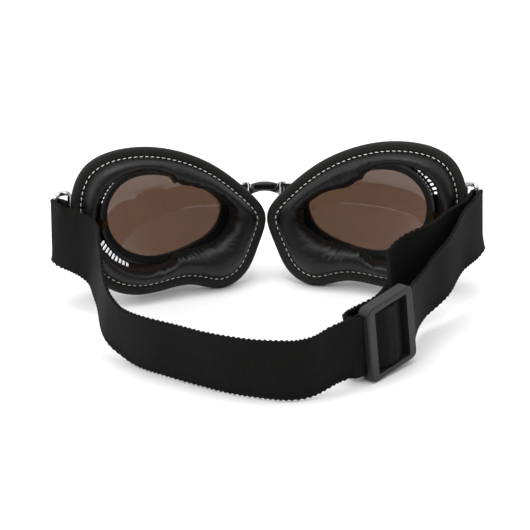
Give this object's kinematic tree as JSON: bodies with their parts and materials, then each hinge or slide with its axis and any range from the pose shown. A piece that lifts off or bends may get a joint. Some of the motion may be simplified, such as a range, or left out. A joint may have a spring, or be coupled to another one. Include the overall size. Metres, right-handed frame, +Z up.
{
  "type": "motorcycle goggles",
  "caption": "riding goggles with two oval tinted lenses in chrome cups hinged to a nose bridge, leather face pads with white stitching, wire side loops and an adjustable elastic head strap with a plastic slider",
  "frame": {"origin": "on the surface it stands on, under the middle of its bounding box", "axes": "+Z up, +X to the wearer's right, the lenses look along +Y and the head strap lies behind along -Y"},
  "size_m": [0.2066, 0.1598, 0.0728],
  "materials": {
    "chrome": "polished chrome plate",
    "tinted_lens": "brown tinted lens, smooth on both faces",
    "lens_retainer": "black moulded ring, satin",
    "pad_backing": "black stiff board, matt",
    "leather": "black pad leather, soft sheen, gathered at its inner edge",
    "pad_band": "dark grey woven-backed edge band, stitched",
    "webbing": "black elastic webbing with ribbed edges",
    "slider_plastic": "dark grey moulded plastic, matt",
    "bridge_insert": "black strip set in the bridge, satin",
    "brass": "turned brass, slightly dull"
  },
  "bodies": {
    "bridge": {"bridge": "chrome", "bridge_insert": "bridge_insert", "strap_main_run": "webbing", "strap_left_tail": "webbing", "strap_outer_run": "webbing", "strap_inner_run": "webbing"},
    "left_cup": {"left_frame": "chrome", "left_lens": "tinted_lens", "left_lens_retainer": "lens_retainer", "left_pad_backing": "pad_backing", "left_pad_edge_band": "pad_band", "left_face_pad": "leather", "left_hinge_pin": "chrome", "left_loop_bracket": "chrome", "left_bracket_rivet": "brass"},
    "left_loop": {"left_strap_loop": "chrome", "left_strap_wrap": "webbing"},
    "right_cup": {"right_frame": "chrome", "right_lens": "tinted_lens", "right_lens_retainer": "lens_retainer", "right_pad_backing": "pad_backing", "right_pad_edge_band": "pad_band", "right_face_pad": "leather", "right_hinge_pin": "chrome", "right_loop_bracket": "chrome", "right_bracket_rivet": "brass"},
    "right_loop": {"right_strap_loop": "chrome", "right_strap_wrap": "webbing"},
    "slider": {"slider": "slider_plastic", "strap_in_slider": "webbing", "strap_sewn_end": "webbing"}
  },
  "joints": [
    {"name": "left_cup_fold", "type": "hinge", "parent": "bridge", "child": "left_cup", "pos_m": [-0.00839, 0.07665, 0.03701], "axis": [0, -0.225, -0.9744], "range_deg": [0, 25], "deforming": ["strap_main_run", "strap_left_tail"]},
    {"name": "right_cup_fold", "type": "hinge", "parent": "bridge", "child": "right_cup", "pos_m": [0.00961, 0.07665, 0.03701], "axis": [0, 0.225, 0.9744], "range_deg": [0, 25], "deforming": ["strap_outer_run", "strap_inner_run"]},
    {"name": "left_loop_swing", "type": "hinge", "parent": "left_cup", "child": "left_loop", "pos_m": [-0.09403, 0.03958, 0.03613], "axis": [0, -0.225, -0.9744], "range_deg": [-15, 60], "deforming": ["strap_main_run", "strap_left_tail"]},
    {"name": "right_loop_swing", "type": "hinge", "parent": "right_cup", "child": "right_loop", "pos_m": [0.09526, 0.03958, 0.03613], "axis": [0, 0.225, 0.9744], "range_deg": [-3, 70], "deforming": ["strap_outer_run", "strap_inner_run"]},
    {"name": "slider_slide", "type": "slide", "parent": "bridge", "child": "slider", "axis": [0.6981, 0.7102, 0.0911], "range_m": [-0.006, 0.008], "deforming": ["strap_main_run", "strap_outer_run", "strap_inner_run"]}
  ]
}
